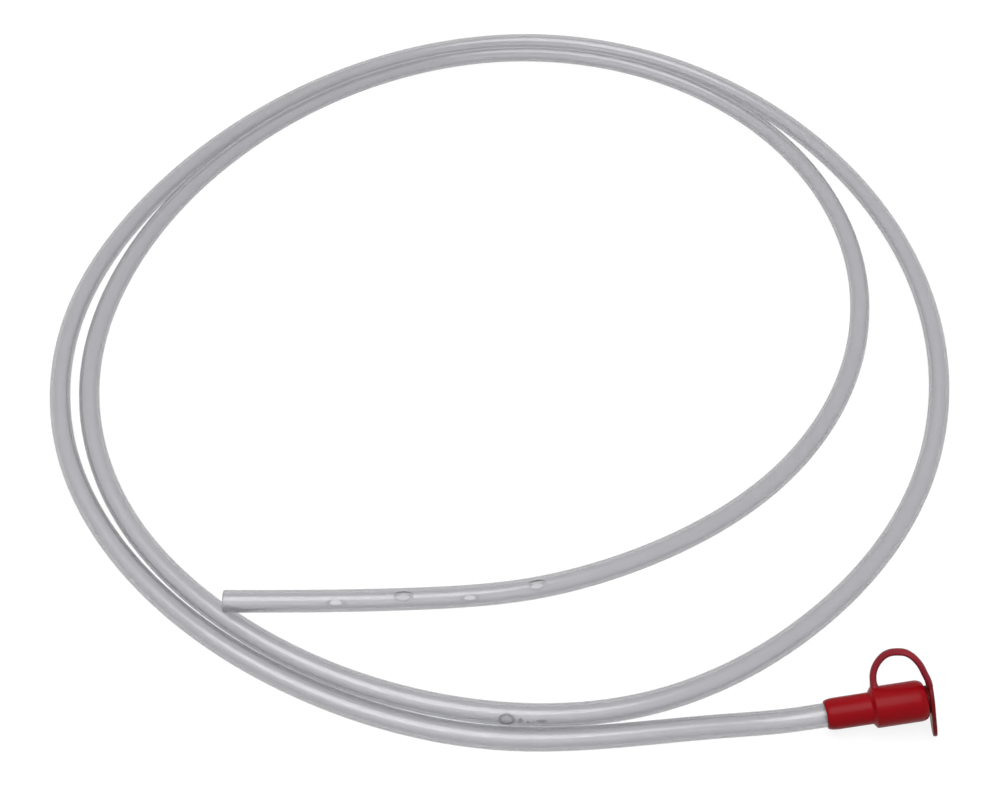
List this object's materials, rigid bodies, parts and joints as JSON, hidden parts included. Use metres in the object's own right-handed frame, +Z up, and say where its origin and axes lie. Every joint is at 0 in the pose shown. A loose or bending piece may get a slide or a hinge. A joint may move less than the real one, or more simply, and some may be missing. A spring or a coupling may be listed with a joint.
{
  "type": "nasogastric tube",
  "caption": "Flexible clear feeding tube lying in two loose loops, with an open tip, oval side eyes and a red end connector closed by a plug cap on a strap.",
  "frame": {"origin": "on the surface that the tube lies on, at the middle of the box round the connector, its strap and its cap", "axes": "+Z up, +X along the connector towards its mouth, +Y across it towards the tube's loops"},
  "size_m": [0.1859, 0.1925, 0.0133],
  "materials": {
    "clear_pvc": "clear, soft, smooth gloss",
    "red_pvc": "deep red, soft, smooth gloss",
    "red_pvc_strap": "deep red, soft, satin",
    "red_pvc_cap": "deep red, soft, smooth gloss"
  },
  "bodies": {
    "tube_and_connector": {"feeding_tube": "clear_pvc", "connector": "red_pvc", "cap_strap": "red_pvc_strap"},
    "cap": {"cap": "red_pvc_cap"}
  },
  "joints": [
    {"name": "cap_pull", "type": "slide", "parent": "tube_and_connector", "child": "cap", "axis": [0.9811, 0.0858, 0.1736], "range_m": [0, 0.006], "deforming": ["cap_strap"]}
  ]
}
